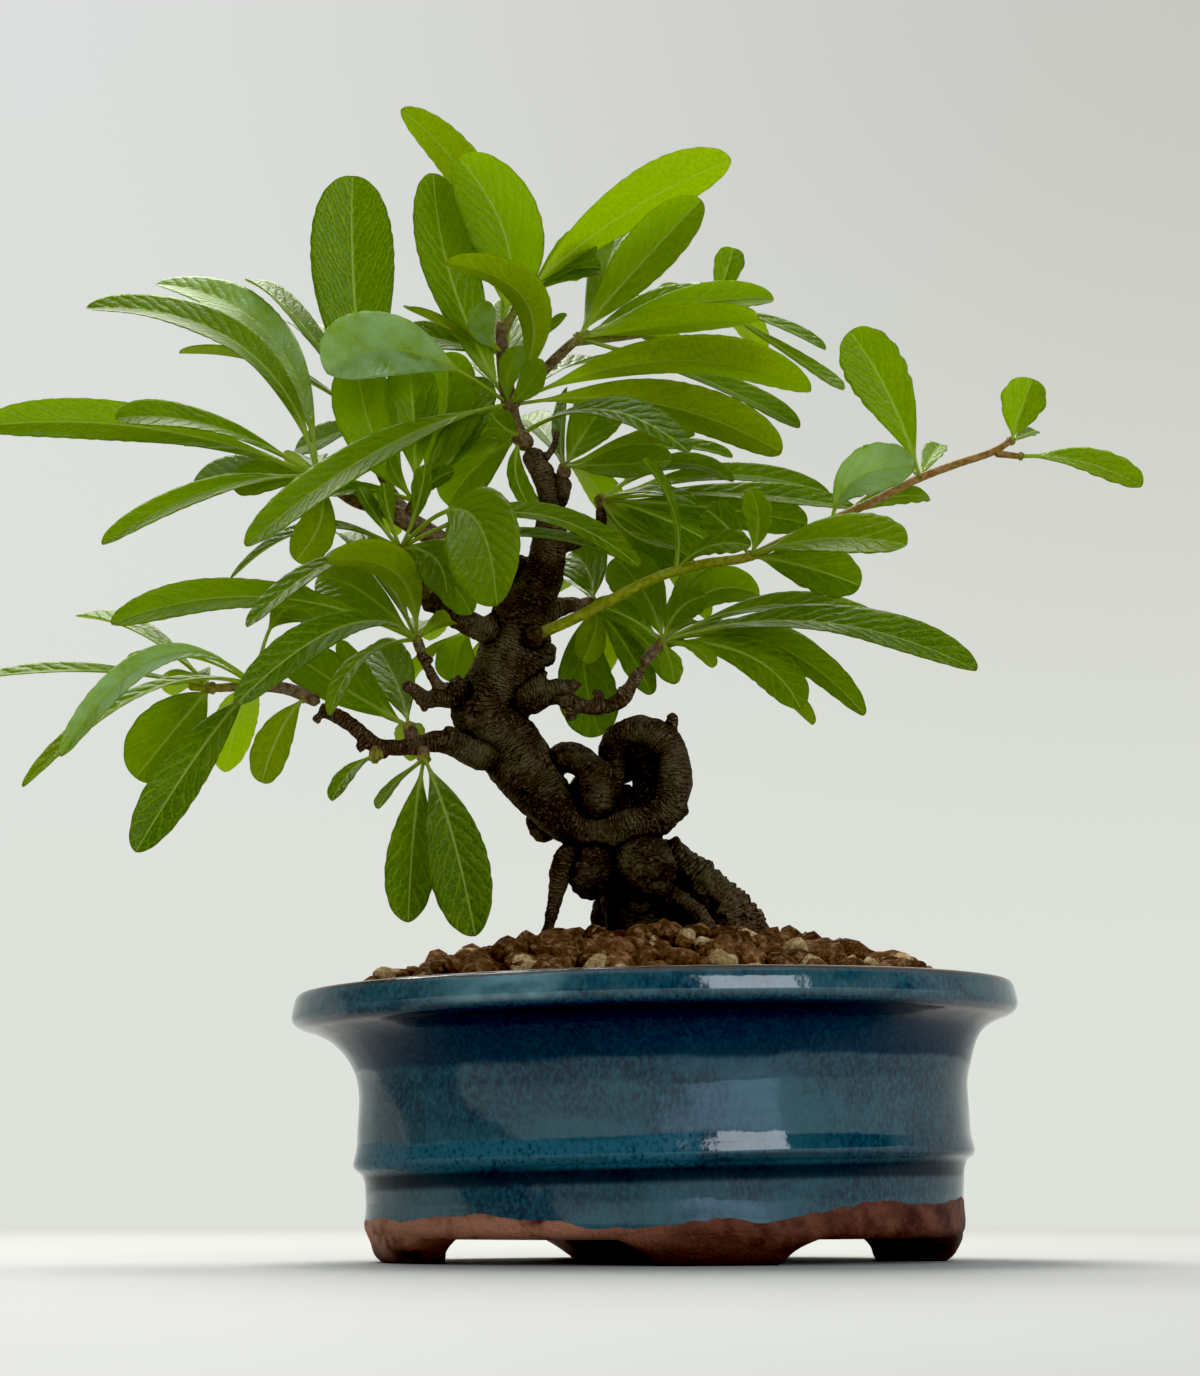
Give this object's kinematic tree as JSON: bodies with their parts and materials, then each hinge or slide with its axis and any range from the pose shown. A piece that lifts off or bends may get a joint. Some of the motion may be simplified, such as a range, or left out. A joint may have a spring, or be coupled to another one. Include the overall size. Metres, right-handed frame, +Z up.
{
  "type": "potted bonsai tree",
  "caption": "Small bonsai tree with a coiled trunk, narrow blunt leaves and one long side shoot, growing from coarse soil grains in an oval glazed pot on low feet.",
  "frame": {"origin": "under the middle of the whole object's box, on the surface that the pot's feet stand on", "axes": "+Z up, -Y towards the front that the picture shows, +X to the right in it"},
  "size_m": [0.2468, 0.1274, 0.2614],
  "materials": {
    "glaze": "gloss",
    "screen_plastic": "matte",
    "soil_grains": "matte",
    "bark": "matte",
    "leaf": "satin"
  },
  "bodies": {
    "root": {"pot": "glaze", "drain_screen_left": "screen_plastic", "drain_screen_right": "screen_plastic", "soil": "soil_grains", "trunk": "bark", "spray_top": "leaf", "spray_upper_left": "leaf", "spray_middle_left": "leaf", "spray_spur_left": "leaf", "spray_lower_left": "leaf", "leaves_under_branch": "leaf", "leaf_under_bend": "leaf", "leaves_on_branch": "leaf", "spray_lower_right": "leaf", "spray_behind_trunk": "leaf", "leaf_beside_trunk": "leaf", "long_shoot": "leaf", "spray_upper_right": "leaf", "spray_middle_right": "leaf"}
  },
  "joints": []
}
